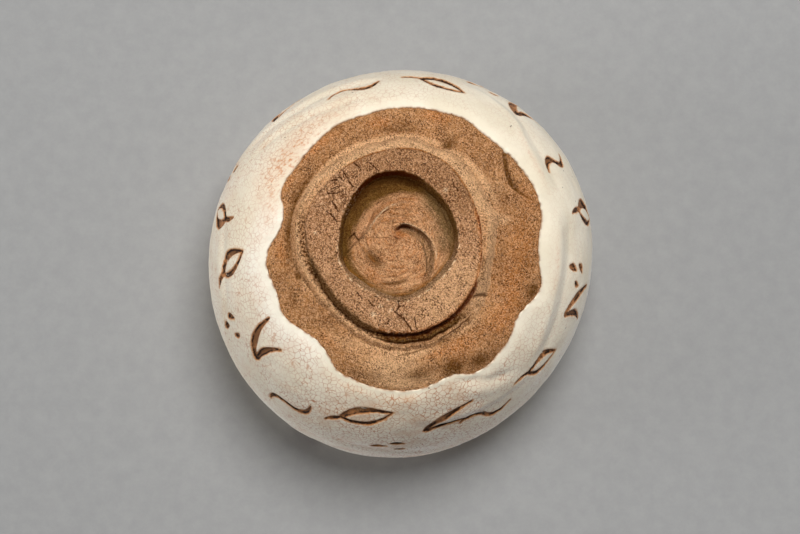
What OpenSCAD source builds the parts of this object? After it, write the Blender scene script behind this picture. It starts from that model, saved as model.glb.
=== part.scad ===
// Hand-built tea bowl, standing on its foot ring, millimetres.
// The origin is on the bowl's axis in the plane on which the foot rests, and +Z runs up through the mouth.

/* [Bowl] */
// Overall diameter across the glaze at the belly
bowl_d = 120; // [112:1:130]
// Overall height from the resting face to the mean lip
bowl_h = 80; // [72:1:92]
// Height at which the wall is widest
belly_z = 52; // [46:1:58]
// How far the lip draws in from the widest radius
lip_in = 3; // [1:0.5:6]
// Thickness of the clay wall at the belly
wall_t = 5; // [4:0.5:7]
// Thickness of the clay at the lip
lip_t = 4; // [3:0.2:5]
// Thickness of the clay floor above the foot joint
floor_t = 7; // [5:0.5:10]

/* [Hand shaping] */
// How far the wall swells into an oval
wall_oval = 1; // [0:0.1:1.6]
// How far the wall swells into three lobes
wall_lobe = 0.5; // [0:0.1:1]
// Rise and fall of the lip
lip_wave = 0.6; // [0:0.1:1.5]

/* [Foot] */
// Height of the foot ring below the clay underside
foot_h = 5; // [4.5:0.5:8]
// Mean outer radius of the foot ring
foot_r = 26.1; // [24:0.1:27]
// Mean inner radius of the foot ring at its resting face
well_r = 17.7; // [15:0.1:19]
// How far the foot ring swells into an oval
foot_oval = 1.1; // [0:0.1:1.5]
// How far it swells into three lobes
foot_lobe = 0.8; // [0:0.1:1.2]
// How far it swells into four corners
foot_corner = 0.4; // [0:0.1:0.8]
// How far the well swells into an oval and into three lobes
well_lobe = 0.5; // [0:0.1:0.8]
// How far the foot sits off the bowl's axis
foot_shift = 1.1; // [0:0.1:1.5]
// How far the well sits off the foot's middle
well_shift = 1.1; // [0:0.1:1.5]
// Rounding of the foot ring's edges
foot_round = 0.9; // [0.5:0.1:1.2]
// How far the well narrows from its mouth to its floor
well_taper = 1; // [0:0.1:2]
// Depth of the hollow in the clay underside, in which the swirl is pressed
well_sink = 2; // [1:0.1:3]

/* [Collar] */
// Mean width of the clay fillet luted round the foot ring
collar_w = 4.5; // [3:0.5:5.5]
// Height of the foot ring's side left bare where the fillet is smoothed on fully
collar_reveal = 0.2; // [0.1:0.1:2]
// Height of the fillet in the slot where the foot ring stands clear of it
collar_low = 0.8; // [0.5:0.1:1.5]
// Height of the step of clay left beyond that slot
terrace_h = 2.4; // [1.6:0.1:3]

/* [Swirl] */
// Thickness of the swirl of clay at the edge of the well
pad_t = 0.7; // [0.5:0.1:1]
// Height of the raised arm of the swirl
swirl_h = 2.5; // [0.8:0.1:2.8]
// Depth of the finger groove that turns out of the middle
groove_d = 2.1; // [0.6:0.1:2.4]
// Width of that groove
groove_w = 4.5; // [3:0.5:6]

/* [Glaze] */
// Thickness of the glaze coats
glaze_t = 0.9; // [0.6:0.1:1.4]
// Mean radius of the lower edge of the outer glaze
glaze_edge_r = 40; // [39.5:0.5:44]

/* [Hidden] */

columns = 72;
angles = [for (j = [0 : columns - 1]) j * 360 / columns];

// Places of the swellings round the bowl, in degrees
wall_oval_at = 130;
wall_lobe_at = 38;
lip_wave_at = 75;
foot_oval_at = 70;
foot_lobe_at = 7;
foot_corner_at = 16;
well_oval_at = 95;
well_lobe_at = 79;

// Departure of the glaze's lower edge from its mean radius, as [angle, distance]
glaze_edge_wave = [
    [0, -2.2], [3, -3.5], [9, -4.8], [15, -4.4], [23, -1.8], [36, -1.8], [56, -0.5], [64, 0], [70, -0.4],
    [92, 0.7], [118, 1.9], [129, 1], [144, 2.1], [155, 2.8], [166, 2.7], [181, 0.3], [189, 1.1], [196, 2.9],
    [200, 2.8], [209, 0.5], [213, 0.4], [228, 3], [238, 3.7], [248, 1.2], [252, 1.4], [264, 3.1], [276, 3.1],
    [296, 1.8], [303, -1.1], [311, -2.4], [319, -1.3], [327, 0.1], [339, -0.6], [351, -0.2], [360, -2.2]
];
// Departure of the collar's width from its mean, as [angle, distance]
collar_wave = [
    [0, -1.4], [25, -0.8], [45, -0.1], [100, 0.1], [115, -1], [122, 0.3], [160, 1.2], [167, 1.9], [178, 0.3],
    [192, -0.6], [214, 0.7], [260, 0.1], [310, -0.3], [348, -1.2], [360, -1.4]
];
// Share to which the collar is smoothed on up the foot ring, as [angle, share]
collar_smoothed = [
    [0, 0.4], [30, 0.5], [60, 1], [195, 1], [222, 0], [270, 0], [300, 0.1], [345, 0.35], [360, 0.4]
];
// Section of the collar: share of its width, then its height where it is smoothed on, as a share of the
// foot ring's side, and where it is a step beyond a slot, as a share of the step
collar_section = [
    [0.12, 1, 0.35], [0.25, 0.97, 1], [0.42, 0.86, 0.95], [0.52, 0.76, 0.35], [0.8, 0.36, 0.35]
];
// Reach of the swirl's raised arm from the middle of the well, as a share of the well's radius
swirl_arm = [
    [0, 0.64], [24, 0.46], [54, 0.45], [72, 0.48], [100, 0.56], [120, 0.62], [143, 0.64], [165, 0.6],
    [180, 0.6], [195, 0.69], [210, 0.84], [225, 1], [240, 1.13], [310, 1.13], [336, 0.86], [360, 0.64]
];
// Run of the slope from that arm down to the floor, as a share of the well's radius
swirl_slope = [
    [0, 0.2], [21, 0.2], [54, 0.16], [100, 0.19], [143, 0.26], [180, 0.32], [210, 0.19], [240, 0.12],
    [360, 0.2]
];
// Outer lip of the finger groove, as a share of the well's radius
swirl_groove = [
    [80, 0.15], [103, 0.19], [120, 0.25], [139, 0.3], [162, 0.4], [178, 0.51], [195, 0.63], [210, 0.79],
    [226, 0.92], [240, 1]
];
groove_fade = 15;
groove_lip = 1.8;

// Steps along the wall from the glaze edge to the lip, over the lip, and down the inside
wall_steps = [0, 0.035, 0.1, 0.22, 0.36, 0.5, 0.66, 0.83, 1];
lip_steps = [45, 90, 135, 180];
inner_wall_steps = [0.67, 0.33, 0];
inner_floor_steps = [16, 32, 48, 64, 80];
crest = len(wall_steps) + 1;
// Share of the glaze's thickness at the first steps, where its edge rolls over
glaze_roll = [0.7, 1.3, 1.1];
pad_steps = [for (k = [1 : 12]) 0.08 * k];

clay_r = bowl_d / 2 - glaze_t;
clay_top = bowl_h - glaze_t;
lip_z = clay_top - lip_t / 2;
seat_z = foot_h;
floor_z = seat_z + floor_t;
well_floor = seat_z + well_sink;
seat_r = foot_r + foot_oval + foot_lobe + foot_corner + collar_w;
foot_at = [foot_shift, 0];
well_at = foot_at + [0, well_shift];

clay_colour = "peru";
collar_colour = "burlywood";
glaze_colour = "ivory";

function ease(x) = x <= 0 ? 0 : x >= 1 ? 1 : x * x * (3 - 2 * x);
function on_circle(middle, r, a, z) = [middle[0] + r * cos(a), middle[1] + r * sin(a), z];

// Outside of the clay at angle a: t runs 0 to 1 up the belly, then 1 to 2 up the wall to the lip
function wall_plan(a) = wall_oval * cos(2 * (a - wall_oval_at)) + wall_lobe * cos(3 * (a - wall_lobe_at));
function clay_outside(t, a) = let (
    swell = sin(90 * min(t, 1)),
    lift = 1 - cos(90 * min(t, 1)),
    up = max(t - 1, 0),
    r = seat_r + (clay_r - seat_r + wall_plan(a)) * swell - lip_in * up * up,
    z = seat_z + (belly_z - seat_z) * lift + (lip_z - belly_z) * up
) [r, z + lip_wave * cos(3 * (a - lip_wave_at)) * up * up];

// Inside of the clay: the wall above the belly, then the round floor below it
function inside_wall(up, a) = clay_outside(1 + up, a) - [wall_t + (lip_t - wall_t) * up, 0];
function inside_floor(b, a) = [
    (clay_r - wall_t + wall_plan(a)) * cos(b),
    belly_z - (belly_z - floor_z) * sin(b)
];

// The glazed skin of the clay at angle a, from the glaze edge over the lip to the middle of the floor
function edge_radius(a) = glaze_edge_r + lookup(a, glaze_edge_wave);
function edge_step(a) = asin((edge_radius(a) - seat_r) / (clay_r - seat_r + wall_plan(a))) / 90;
function lip_point(b, a) = clay_outside(2, a) + lip_t / 2 * [cos(b) - 1, sin(b)];
function skin(a) = concat(
    [for (s = wall_steps) clay_outside(edge_step(a) + (2 - edge_step(a)) * s, a)],
    [for (b = lip_steps) lip_point(b, a)],
    [for (up = inner_wall_steps) inside_wall(up, a)],
    [for (b = inner_floor_steps) inside_floor(b, a)]
);
skins = [for (a = angles) skin(a)];
skin_last = len(skins[0]) - 1;

// The skin of the glaze: the clay's skin moved out along its normal
function glaze_share(k) = k < len(glaze_roll) ? glaze_roll[k] : 1;
function outward(path, k) = let (
    run = path[min(k + 1, skin_last)] - path[max(k - 1, 0)]
) [run[1], -run[0]] / norm(run);
function glazed(path, k) = path[k] + glaze_t * glaze_share(k) * outward(path, k);

function ring_of(points) = [for (j = [0 : columns - 1])
    [points[j][0] * cos(angles[j]), points[j][0] * sin(angles[j]), points[j][1]]];
function skin_ring(k) = ring_of([for (path = skins) path[k]]);
function glaze_ring(k) = ring_of([for (path = skins) glazed(path, k)]);
function underside_ring(share) = ring_of([for (a = angles) clay_outside(edge_step(a) * share, a)]);

// Outlines of the foot and of its well
function foot_plan(a) = foot_r + foot_oval * cos(2 * (a - foot_oval_at))
    + foot_lobe * cos(3 * (a - foot_lobe_at)) + foot_corner * cos(4 * (a - foot_corner_at));
function well_plan(a) = well_r + well_lobe * (cos(2 * (a - well_oval_at)) + cos(3 * (a - well_lobe_at)));
function foot_ring_at(inset, zs) = [for (j = [0 : columns - 1])
    on_circle(foot_at, foot_plan(angles[j]) - inset, angles[j], zs[j])];
function well_ring_at(inset, z) = [for (a = angles) on_circle(well_at, well_plan(a) - inset, a, z)];
function level(z) = [for (a = angles) z];

// The collar at a share of its width, with its height where it is smoothed on and where it is a step
collar_full = seat_z - foot_round - collar_reveal;
function collar_z(a, smoothed, step) = let (on = lookup(a, collar_smoothed))
    seat_z - on * smoothed - (1 - on) * step;
function collar_ring(share, smoothed, step) = [for (a = angles) on_circle(
    foot_at, foot_plan(a) + share * (collar_w + lookup(a, collar_wave)), a, collar_z(a, smoothed, step))];
collar_tops = [for (a = angles) collar_z(a, collar_full, collar_low)];

// Height of the swirl's surface at a share of the well's radius
function swirl_bank(share, a) = let (slope = lookup(a, swirl_slope))
    ease((lookup(a, swirl_arm) + slope - share) / slope);
// Depth of the groove as a share: steep at its outer lip, then running out slowly towards the middle
function swirl_cut(share, a) = let (
    from = a - swirl_groove[0][0],
    to = swirl_groove[len(swirl_groove) - 1][0] - a,
    into = (lookup(a, swirl_groove) - share) * well_r
) ease(from / groove_fade) * ease(to / groove_fade) * ease(into / groove_lip)
    * ease((groove_w - into) / (groove_w - groove_lip));
function swirl_z(share, a) = well_floor - pad_t
    - swirl_bank(share, a) * (swirl_h - min(groove_d, swirl_h) * swirl_cut(share, a));

// A closed surface through rings of points, round a hollow or between two middle points
function strip(rings_from, rings_to) = [for (j = [0 : columns - 1]) let (
    next = (j + 1) % columns,
    a = rings_from * columns + j,
    b = rings_from * columns + next,
    c = rings_to * columns + next,
    d = rings_to * columns + j
) each [[a, d, c], [a, c, b]]];
function points_of(rings) = [for (ring = rings) each ring];
module hoop(rings) {
    count = len(rings);
    polyhedron(points_of(rings), [for (k = [0 : count - 1]) each strip(k, (k + 1) % count)]);
}
module bulb(first, rings, last) {
    count = len(rings);
    low = count * columns;
    top = (count - 1) * columns;
    polyhedron(
        concat(points_of(rings), [first, last]),
        concat(
            [for (j = [0 : columns - 1]) [low, j, (j + 1) % columns]],
            [for (k = [0 : count - 2]) each strip(k, k + 1)],
            [for (j = [0 : columns - 1]) [top + j, low + 1, top + (j + 1) % columns]]
        )
    );
}

// Pinched clay wall and floor, flat underneath where the foot is luted on and hollowed in its well
module clay_body() {
    rings = concat(
        [well_ring_at(well_taper, well_floor), well_ring_at(well_taper, seat_z)],
        [underside_ring(0), underside_ring(0.5)],
        [for (k = [0 : skin_last]) skin_ring(k)]
    );
    color(clay_colour) bulb(on_circle(well_at, 0, 0, well_floor), rings, [0, 0, floor_z]);
}

// Foot ring with worn round edges, cut flat where it stands
module foot_ring() {
    crown = 0.6 * foot_round;
    rings = [
        well_ring_at(well_taper, seat_z),
        well_ring_at(0, foot_round),
        well_ring_at(-0.5 * foot_round, 0.2 * foot_round),
        well_ring_at(-2 * foot_round, -crown),
        foot_ring_at(2 * foot_round, level(-crown)),
        foot_ring_at(0.5 * foot_round, level(0.2 * foot_round)),
        foot_ring_at(0, level(foot_round)),
        foot_ring_at(0, collar_tops),
        foot_ring_at(0, level(seat_z))
    ];
    reach = bowl_d;
    color(clay_colour) difference() {
        hoop(rings);
        translate([-reach / 2, -reach / 2, -reach]) cube(reach);
    }
}

// Fillet of soft clay that lutes the foot ring to the body, smoothed on behind and left as a step in front
module foot_collar() {
    rings = concat(
        [foot_ring_at(0, level(seat_z)), foot_ring_at(0, collar_tops)],
        [for (part = collar_section) collar_ring(part[0], part[1] * collar_full, part[2] * terrace_h)],
        [collar_ring(1, 0, 0)]
    );
    color(collar_colour) hoop(rings);
}

// Swirl of clay turned with a finger on the floor of the well, level with the joint where it meets the wall
module spiral_pad() {
    rings = concat(
        [for (share = pad_steps) [for (a = angles)
            on_circle(well_at, share * (well_plan(a) - well_taper), a, swirl_z(share, a))]],
        [[for (a = angles) on_circle(well_at, well_plan(a) - well_taper, a, max(seat_z, swirl_z(1, a)))]],
        [well_ring_at(well_taper, well_floor)]
    );
    color(clay_colour) bulb(
        on_circle(well_at, 0, 0, swirl_z(0, 0)), rings, on_circle(well_at, 0, 0, well_floor)
    );
}

// Thick white coat on the outside, from its wavy rolled edge to the crest of the lip
module outer_glaze() {
    rings = concat(
        [for (k = [0 : crest]) glaze_ring(k)],
        [for (k = [crest : -1 : 0]) skin_ring(k)]
    );
    color(glaze_colour) hoop(rings);
}

// Coat on the inside, from the crest of the lip to the middle of the floor
module inner_glaze() {
    rings = concat(
        [for (k = [skin_last : -1 : crest]) skin_ring(k)],
        [for (k = [crest : skin_last]) glaze_ring(k)]
    );
    color(glaze_colour) bulb([0, 0, floor_z], rings, [0, 0, floor_z + glaze_t]);
}

clay_body();
foot_ring();
foot_collar();
spiral_pad();
outer_glaze();
inner_glaze();
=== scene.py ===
import bpy
import numpy as np
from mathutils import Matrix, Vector, noise


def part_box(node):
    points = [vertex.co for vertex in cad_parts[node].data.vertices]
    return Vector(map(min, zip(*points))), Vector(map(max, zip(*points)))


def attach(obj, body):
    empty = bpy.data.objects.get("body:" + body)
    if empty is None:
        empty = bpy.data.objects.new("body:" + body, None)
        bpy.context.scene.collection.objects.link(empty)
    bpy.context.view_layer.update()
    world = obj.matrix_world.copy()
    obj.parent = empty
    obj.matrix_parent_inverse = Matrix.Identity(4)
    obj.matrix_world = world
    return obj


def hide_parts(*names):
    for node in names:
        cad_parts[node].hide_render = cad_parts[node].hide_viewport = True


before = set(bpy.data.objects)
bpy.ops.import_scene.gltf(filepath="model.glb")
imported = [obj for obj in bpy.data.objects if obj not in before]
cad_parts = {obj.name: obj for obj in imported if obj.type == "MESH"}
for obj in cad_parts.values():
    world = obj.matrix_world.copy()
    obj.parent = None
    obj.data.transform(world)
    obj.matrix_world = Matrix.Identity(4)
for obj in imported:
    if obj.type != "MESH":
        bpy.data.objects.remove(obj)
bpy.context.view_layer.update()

# Clay body: the wall and floor of the bowl, pinched by hand from coarse brown stoneware clay.
# The foot is luted to its flat underside, and only the band round the foot stays bare of glaze.
MM = 0.001
bowl_axis = (0, 0)
bowl_r = 60.0
glaze_t = 0.9
clay_r = bowl_r - glaze_t
belly_z = 52.0
lip_z = 77.1
lip_in = 3.0
lip_t = 4.0
wall_t = 5.0
floor_z = 12.0
seat_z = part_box("foot_ring")[1].z / MM
seat_r = 32.9
lip_wave = 0.6
glaze_edge_r = 40.0
glaze_edge_wave = (
    (3, -3.8), (9, -5.1), (15, -4.7), (23, -2.2), (36, -2.2), (48, -1.6), (56, -0.9), (64, -0.3),
    (70, -0.8), (80, -0.4), (92, 0.3), (108, 0.9), (118, 1.5), (129, 0.7), (136, 0.9), (144, 1.8),
    (155, 2.7), (166, 2.6), (172, 1.9), (181, 0.5), (189, 1.4), (196, 3.2), (200, 3.0), (209, 0.9),
    (213, 0.8), (221, 2.4), (228, 3.2), (236, 4.1), (240, 4.0), (248, 1.8), (252, 1.8), (264, 3.4),
    (276, 3.3), (290, 2.3), (296, 1.7), (303, -1.1), (311, -2.3), (319, -1.2), (327, 0.1),
    (339, -1.0), (351, -0.5), (357, -1.5),
)


def cosine(degrees):
    return np.cos(np.radians(degrees))


def sine(degrees):
    return np.sin(np.radians(degrees))


def capped(x):
    return np.clip(x, 0, 1)


def ease(x):
    """0 up to 0, 1 from 1 on, and a smooth step between."""
    x = capped(x)
    return x * x * (3 - 2 * x)


def bell(x):
    return np.exp(-x * x)


def smooth_curve(points, at):
    """Smooth value through (place, value) points."""
    place = np.array([p[0] for p in points], float)
    value = np.array([p[1] for p in points], float)
    slope = np.gradient(value, place)
    at = np.clip(at, place[0], place[-1])
    k = np.clip(np.searchsorted(place, at, side="right") - 1, 0, len(place) - 2)
    step = place[k + 1] - place[k]
    x = (at - place[k]) / step
    from_value = value[k] * (1 + 2 * x) * (1 - x) ** 2 + slope[k] * step * x * (1 - x) ** 2
    to_value = value[k + 1] * (3 - 2 * x) * x**2 - slope[k + 1] * step * (1 - x) * x**2
    return from_value + to_value


def closed_curve(points, angle):
    """Smooth value round the bowl through (degrees, value) points."""
    before = [(at - 360, value) for at, value in points[-2:]]
    after = [(at + 360, value) for at, value in points[:2]]
    return smooth_curve([*before, *points, *after], np.mod(angle, 360))


def window(angle, start, end, soft):
    """1 from one angle on to the other and 0 elsewhere, easing over the soft stretch at each end."""
    turn = np.mod(angle - start, 360)
    return ease(turn / soft) * ease((end - start - turn) / soft)


def lumps(points, size, octaves=3, seed=0.0):
    """Fractal unevenness at each point, about -1 to 1, with lumps of that size."""
    flat = (points.reshape(-1, 3) / size + seed).tolist()
    values = [noise.fractal(p, 0.9, 2.0, octaves) for p in flat]
    return np.array(values).reshape(points.shape[:-1])


def round_points(middle, radius, angle, height):
    radius, angle, height = np.broadcast_arrays(radius, angle, height)
    return np.stack([middle[0] + radius * cosine(angle), middle[1] + radius * sine(angle), height], -1)


def added(name, data):
    """A new object in the scene."""
    piece = bpy.data.objects.new(name, data)
    bpy.context.scene.collection.objects.link(piece)
    return piece


def loft(name, rings, first=None, last=None):
    """A closed skin through rings of points: a hoop, or with a first and last point a bulb."""
    rows, across = rings.shape[:2]
    index = np.arange(rows * across).reshape(rows, across)
    low = index if first is None else index[:-1]
    high = np.roll(index, -1, 0) if first is None else index[1:]
    quads = np.stack([low, np.roll(low, -1, 1), np.roll(high, -1, 1), high], -1).reshape(-1, 4).tolist()
    points = rings.reshape(-1, 3)
    if first is not None:
        points = np.vstack([points, first, last])
        bottom = rows * across
        quads += [[bottom, b, a] for a, b in zip(index[0], np.roll(index[0], -1))]
        quads += [[a, b, bottom + 1] for a, b in zip(index[-1], np.roll(index[-1], -1))]
    mesh = bpy.data.meshes.new(name)
    mesh.from_pydata((points * MM).tolist(), [], quads)
    mesh.shade_smooth()
    return added(name, mesh)


def mark(piece, name, values, rest=0.0):
    """Stores a number at each point of a piece for its material; points past the values get the rest."""
    field = piece.data.attributes.new(name, "FLOAT", "POINT")
    numbers = np.full(len(piece.data.vertices), rest, np.float32)
    numbers[: values.size] = values.ravel()
    field.data.foreach_set("value", numbers)


def wall_plan(angle):
    """How far the wall stands outside its mean round: an oval and three soft corners."""
    return cosine(2 * (angle - 130)) + 0.5 * cosine(3 * (angle - 38))


def lip_swing(angle):
    """How far the uneven lip stands above its mean height."""
    return lip_wave * cosine(3 * (angle - 75))


# Mean section of the outside, by the distance along it from where the flat underside ends
section_t = np.linspace(0, 2, 1601)
section_swell = sine(90 * np.minimum(section_t, 1))
section_up = np.maximum(section_t - 1, 0)
section_r = seat_r + (clay_r - seat_r) * section_swell - lip_in * section_up**2
section_z = seat_z + (belly_z - seat_z) * (1 - cosine(90 * np.minimum(section_t, 1)))
section_z = section_z + (lip_z - belly_z) * section_up
section_s = np.concatenate([[0], np.cumsum(np.hypot(np.diff(section_r), np.diff(section_z)))])
section_nr = np.gradient(section_z, section_s)
section_nz = -np.gradient(section_r, section_s)
section_end = section_s[-1]


def on_section(distance, values):
    return np.interp(distance, section_s, values)


def edge_distance(angle):
    """Distance along the section at which the outer glaze ends."""
    radius = glaze_edge_r + closed_curve(glaze_edge_wave, angle)
    step = np.arcsin((radius - seat_r) / (clay_r - seat_r + wall_plan(angle))) / (np.pi / 2)
    return np.interp(step, section_t, section_s)


# Folds that the pinching left in the wall: (degrees, distance along the section), depth, width
wall_folds = (
    (((30, 33), (42, 31), (54, 24.5), (70, 23), (88, 22)), -0.5, 1.7),
    (((28, 25), (40, 21), (51, 17), (64, 14), (80, 13)), -0.45, 1.5),
    (((222, 23), (230, 20.5), (236, 18), (245, 13), (254, 10)), -0.6, 2.2),
    (((330, 42), (344, 29), (355, 26), (372, 27)), -0.4, 1.8),
    (((250, 52), (258, 50), (276, 44), (288, 42), (300, 40)), -0.3, 2.4),
)
# Ledges where it steps inward: (degrees, distance along the section), drop, width of the sloping side
wall_ledges = (
    (((108, 28), (124, 24.5), (132, 21.5), (139, 17), (150, 15), (164, 14.6)), 0.9, 6.0),
    (((166, 15), (180, 15.5), (196, 17), (206, 19.5), (224, 24.5)), 1.4, 7.5),
    (((222, 29.5), (230, 28.6), (238, 27.8), (246, 26.8), (254, 25.5), (268, 22)), 0.9, 5.0),
)
fold_fade = 12
ledge_run_out = 8


def fading(line, angle):
    """1 along a fold's line, easing to 0 at its two ends."""
    return ease((angle - line[0][0]) / fold_fade) * ease((line[-1][0] - angle) / fold_fade)


def folds(distance, angle):
    total = np.zeros(distance.shape)
    for line, depth, width in wall_folds:
        for turned in (angle, angle + 360):
            middle = np.interp(turned, [p[0] for p in line], [p[1] for p in line])
            across = (distance - middle) / width
            total += depth * fading(line, turned) * (bell(across) - 0.5 * bell((across - 2.2) / 1.2))
    for line, drop, slope in wall_ledges:
        past = distance - smooth_curve(line, angle)
        down = ease(past / slope) * np.exp(-np.maximum(past - slope, 0) / ledge_run_out)
        total += drop * fading(line, angle) * (0.25 * bell((past + 0.5) / 2.4) - down)
    return total


def furrow(distance, angle):
    """A dent that a fingernail left in the bare clay at the back, bent over like an arch."""
    turn = angle - 152
    middle = 4.2 + np.where(turn < 0, 4.4 * (turn / 14) ** 2, 3.6 * (turn / 9) ** 2)
    deep = 1 - 0.4 * ease(turn / 8)
    return deep * bell((distance - middle) / 0.8) * window(angle, 136, 164, 4)


def clay_skin(distance, angle):
    """Points and normals of the fired clay outside, with its lumps, folds and furrow."""
    flat = np.minimum(distance, 0)
    swell = on_section(distance, section_swell)
    up = on_section(distance, section_up)
    radius = on_section(distance, section_r) + flat + wall_plan(angle) * swell
    height = on_section(distance, section_z) + lip_swing(angle) * up**2
    points = round_points(bowl_axis, radius, angle, height)
    normal_z = on_section(distance, section_nz)
    outward = round_points(bowl_axis, on_section(distance, section_nr), angle, normal_z)
    beyond = distance - edge_distance(angle)
    bare = ease((4 - beyond) / 4)
    relief = bare * (0.4 * lumps(points, 8.0) + 0.2 * lumps(points, 2.4, 3, 5.0))
    relief -= 0.9 * furrow(distance, angle)
    relief += folds(distance, angle) * ease(beyond / 3)
    return points + outward * relief[..., None], outward


def inside_wall(up, angle):
    """The clay inside, from the belly at 0 to the lip at 1."""
    distance = np.interp(1 + up, section_t, section_s)
    radius = on_section(distance, section_r) + wall_plan(angle) - (wall_t + (lip_t - wall_t) * up)
    height = on_section(distance, section_z) + lip_swing(angle) * up**2
    return round_points(bowl_axis, radius, angle, height)


def inside_floor(down, angle):
    """The clay inside, from the belly at 0 degrees to the middle of the floor at 90."""
    radius = (clay_r - wall_t + wall_plan(angle)) * cosine(down)
    return round_points(bowl_axis, radius, angle, belly_z - (belly_z - floor_z) * sine(down))


def lip(over, angle, thickness):
    """The rounded lip, from 0 degrees outside over the crest at 90 to 180 inside."""
    bulge = lip_t / 2 + thickness
    radius = section_r[-1] + wall_plan(angle) - lip_t / 2 + bulge * cosine(over)
    height = section_z[-1] + lip_swing(angle) + bulge * sine(over)
    return round_points(bowl_axis, radius, angle, height)


def turn_in_steps(count):
    return np.arange(count) * 360 / count


round_bowl = turn_in_steps(800)
glaze_lap = 1.5
bare_from = -9.0
bare_to = edge_distance(round_bowl) + glaze_lap
bare_distance = bare_from + (bare_to - bare_from) * np.linspace(0, 1, 68)[:, None]
under_glaze = bare_to + (section_end - bare_to) * np.linspace(0, 1, 26)[1:, None]
body_distance = np.vstack([bare_distance, under_glaze])
body_angle = np.broadcast_to(round_bowl, body_distance.shape)
outside, _ = clay_skin(body_distance, body_angle)
over_lip = lip(np.arange(30, 181, 30)[:, None], round_bowl, 0)
down_wall = inside_wall(np.array([0.75, 0.5, 0.25, 0])[:, None], round_bowl)
down_floor = inside_floor(np.arange(10, 86, 10)[:, None], round_bowl)
well_at = np.array([1.1, 1.1])
well_sink = 2.0
sunk_r = np.array([[9.0], [18.2], [18.6]])
sunk_z = seat_z + np.array([[well_sink], [well_sink], [0.0]])
sunk = round_points(well_at, sunk_r, round_bowl, sunk_z)
clay_body = loft(
    "clay_body_pinched",
    np.vstack([sunk, outside, over_lip, down_wall, down_floor]),
    (0, 0, seat_z + well_sink),
    (0, 0, floor_z),
)


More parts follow.
